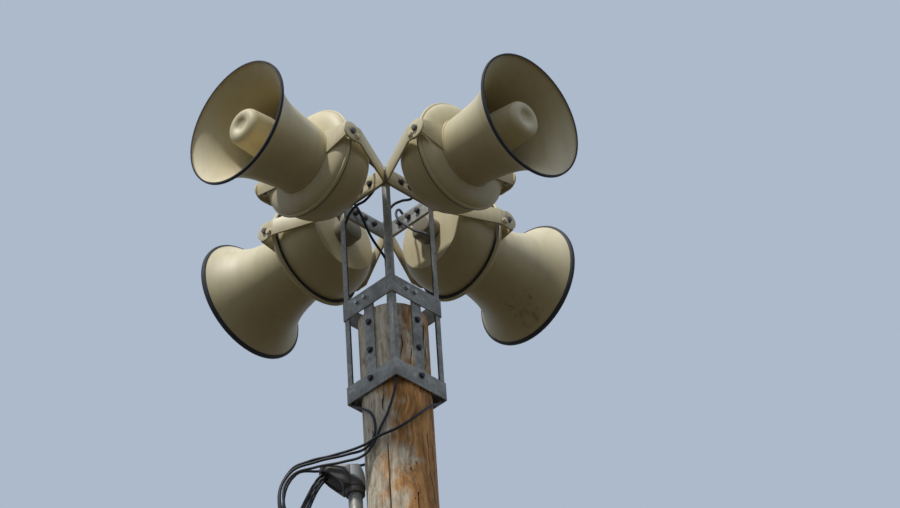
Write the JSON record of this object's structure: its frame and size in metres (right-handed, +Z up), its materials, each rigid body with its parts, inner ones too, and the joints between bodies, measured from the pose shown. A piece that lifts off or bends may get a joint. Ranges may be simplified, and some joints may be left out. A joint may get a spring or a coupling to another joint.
{
  "type": "civil defense siren tower",
  "caption": "Outdoor warning siren: re-entrant loudspeaker horns in yokes on a square steel frame clamped to the top of a wooden pole, with cables, weatherhead and conduit.",
  "frame": {"origin": "centre of the pole's foot at ground level", "axes": "+Z up along the pole, -Y along the front horn, +X along the right horn"},
  "size_m": [1.4412, 1.463, 11.1363],
  "materials": {
    "weathered_pole_wood": "peeled and weathered",
    "galvanised_steel": "hot dip galvanised, dull",
    "cream_paint": "satin, weathered",
    "driver_paint": "warm grey enamel",
    "trim_rubber": "matt black",
    "cast_cap": "sand cast, dull grey",
    "black_insert": "moulded, matt black",
    "cable_jacket": "black jacket"
  },
  "bodies": {
    "root": {"pole": "weathered_pole_wood", "corner_posts": "galvanised_steel", "top_ring": "galvanised_steel", "upper_band": "galvanised_steel", "lower_band": "galvanised_steel", "clamp_bars": "galvanised_steel", "conduit": "galvanised_steel", "conduit_straps": "galvanised_steel", "weatherhead": "cast_cap", "weatherhead_insert": "black_insert", "yoke_front": "cream_paint", "yoke_right": "cream_paint", "yoke_back": "cream_paint", "yoke_left": "cream_paint", "tilt_bolts": "galvanised_steel", "bracket_front": "cream_paint", "bracket_right": "cream_paint", "bracket_back": "cream_paint", "bracket_left": "cream_paint", "front_shell_front": "cream_paint", "front_shell_right": "cream_paint", "front_shell_back": "cream_paint", "front_shell_left": "cream_paint", "rear_shell_front": "cream_paint", "rear_shell_right": "cream_paint", "rear_shell_back": "cream_paint", "rear_shell_left": "cream_paint", "driver_front": "driver_paint", "driver_right": "driver_paint", "driver_back": "driver_paint", "driver_left": "driver_paint", "bell_front": "cream_paint", "bell_right": "cream_paint", "bell_back": "cream_paint", "bell_left": "cream_paint", "bullet_front": "cream_paint", "bullet_right": "cream_paint", "bullet_back": "cream_paint", "bullet_left": "cream_paint", "spiders": "cream_paint", "mouth_trims": "trim_rubber", "cable_front": "cable_jacket", "cable_right": "cable_jacket", "cable_back": "cable_jacket", "cable_left": "cable_jacket"}
  },
  "joints": []
}
